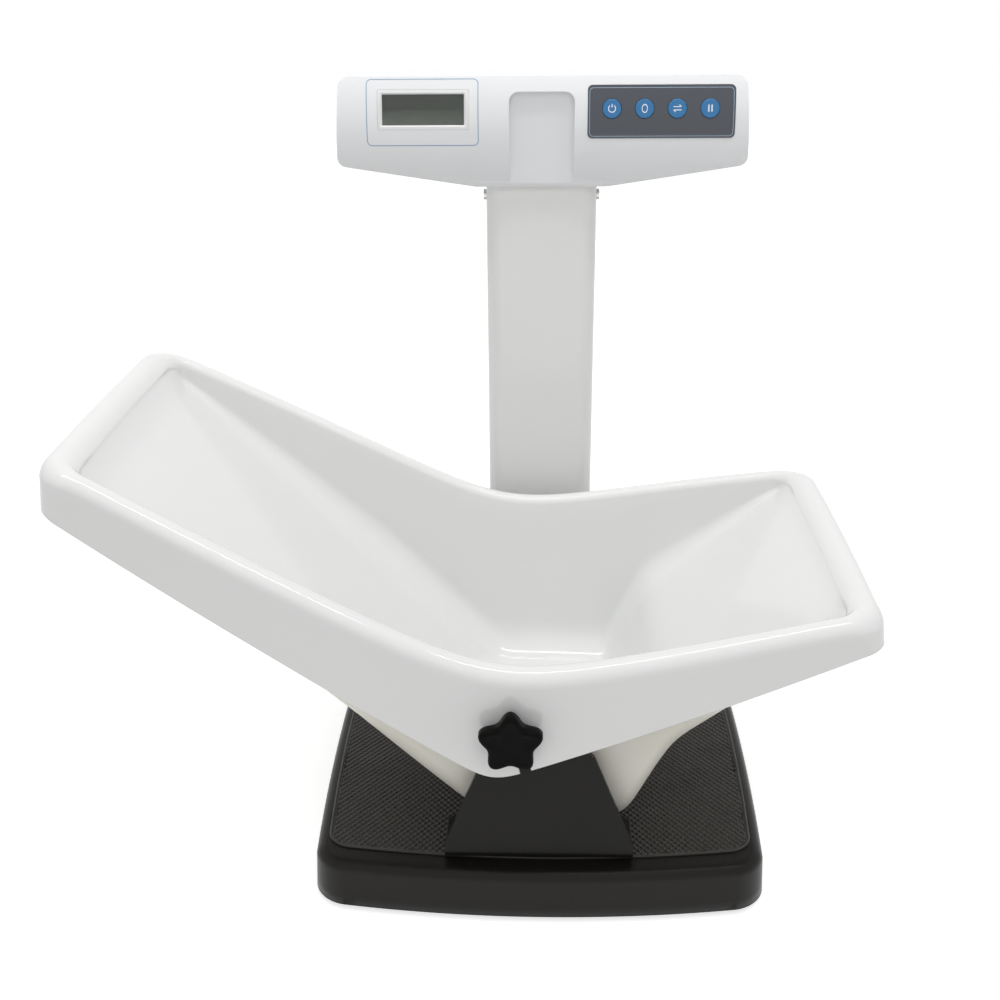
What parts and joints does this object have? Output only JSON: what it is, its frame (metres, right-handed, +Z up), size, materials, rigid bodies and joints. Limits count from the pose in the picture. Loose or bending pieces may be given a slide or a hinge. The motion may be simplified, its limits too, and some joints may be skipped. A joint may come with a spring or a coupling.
{
  "type": "digital baby weighing scale",
  "caption": "Baby weighing scale: a lift-off cradle tray clamped to brackets on a load-cell platform, with a column that carries a display head with push keys and a battery lid.",
  "frame": {"origin": "centre of the whole scale's extents in X and Y, on the floor that the four feet stand on", "axes": "+X runs along the tray towards its foot end, +Y runs from the clamp knob's side back towards the column and head, +Z is up"},
  "size_m": [0.588, 0.4208, 0.571],
  "materials": {
    "platform_black": "satin",
    "mat_rubber": "matte",
    "foot_rubber": "matte",
    "tray_white": "gloss",
    "bracket_black": "satin",
    "knob_black": "matte",
    "column_grey": "satin",
    "head_white": "satin",
    "bezel_white": "satin",
    "display_glass": "gloss",
    "lcd_dark": "satin",
    "film_slate": "satin",
    "key_blue": "satin",
    "steel": "brushed",
    "cell_alloy": "satin",
    "brass": "satin",
    "board_green": "satin",
    "part_black": "matte",
    "battery_wrap": "satin",
    "cable_grey": "matte",
    "plated_steel": "satin"
  },
  "bodies": {
    "stand": {"base_housing": "platform_black", "platform_plate": "steel", "bottom_cover": "platform_black", "cover_screws": "steel", "platform_mat": "mat_rubber", "load_cell_front_left": "cell_alloy", "load_cell_front_right": "cell_alloy", "load_cell_rear_left": "cell_alloy", "load_cell_rear_right": "cell_alloy", "cell_risers": "steel", "cell_screws": "steel", "foot_front_left": "foot_rubber", "foot_front_right": "foot_rubber", "foot_rear_left": "foot_rubber", "foot_rear_right": "foot_rubber", "foot_studs": "steel", "junction_board": "board_green", "board_pillars": "brass", "front_bracket": "bracket_black", "rear_bracket": "bracket_black", "bracket_bolts": "steel", "clamp_stud": "steel", "rear_pin": "steel", "column": "column_grey", "column_foot": "steel", "column_foot_screws": "steel", "head_yoke": "steel", "yoke_screws": "steel", "column_side_screws": "plated_steel", "signal_cable": "cable_grey", "head_front_shell": "head_white", "head_rear_shell": "head_white", "head_screws": "steel", "display_bezel": "bezel_white", "display_window": "display_glass", "lcd_module": "lcd_dark", "main_board": "board_green", "board_screws": "steel", "buzzer": "part_black", "keypad_film": "film_slate", "key_domes": "plated_steel", "keypad_board": "board_green", "battery_holder": "part_black", "batteries": "battery_wrap", "battery_contacts": "plated_steel", "power_socket": "part_black"},
    "tray": {"cradle_tray": "tray_white"},
    "washer": {"clamp_washer": "steel"},
    "knob": {"star_knob": "knob_black", "knob_insert": "brass"},
    "power_button": {"power_key": "key_blue"},
    "zero_button": {"zero_key": "key_blue"},
    "units_button": {"units_key": "key_blue"},
    "hold_button": {"hold_key": "key_blue"},
    "battery_lid": {"battery_door": "head_white"}
  },
  "joints": [
    {"name": "tray_lift", "type": "slide", "parent": "stand", "child": "tray", "axis": [-0.309, 0, 0.9511], "range_m": [0, 0.15]},
    {"name": "washer_slide", "type": "slide", "parent": "stand", "child": "washer", "axis": [0, -1, 0], "range_m": [0, 0.0025]},
    {"name": "knob_turn", "type": "hinge", "parent": "washer", "child": "knob", "pos_m": [0.03, -0.20255, 0.16], "axis": [0, -1, 0], "range_deg": [0, 720]},
    {"name": "power_press", "type": "slide", "parent": "stand", "child": "power_button", "axis": [0, 0.9763, -0.2163], "range_m": [0, 0.0005], "stiffness_N_per_m": 3000},
    {"name": "zero_press", "type": "slide", "parent": "stand", "child": "zero_button", "axis": [0, 0.9763, -0.2163], "range_m": [0, 0.0005], "stiffness_N_per_m": 3000},
    {"name": "units_press", "type": "slide", "parent": "stand", "child": "units_button", "axis": [0, 0.9763, -0.2163], "range_m": [0, 0.0005], "stiffness_N_per_m": 3000},
    {"name": "hold_press", "type": "slide", "parent": "stand", "child": "hold_button", "axis": [0, 0.9763, -0.2163], "range_m": [0, 0.0005], "stiffness_N_per_m": 3000},
    {"name": "battery_lid_hinge", "type": "hinge", "parent": "stand", "child": "battery_lid", "pos_m": [0.05, 0.20845, 0.5105], "axis": [-1, 0, 0], "range_deg": [0, 90]}
  ],
  "couplings": [
    {"joint": "washer_slide", "follows": "knob_turn", "m_per_rad": 0.00019894}
  ]
}
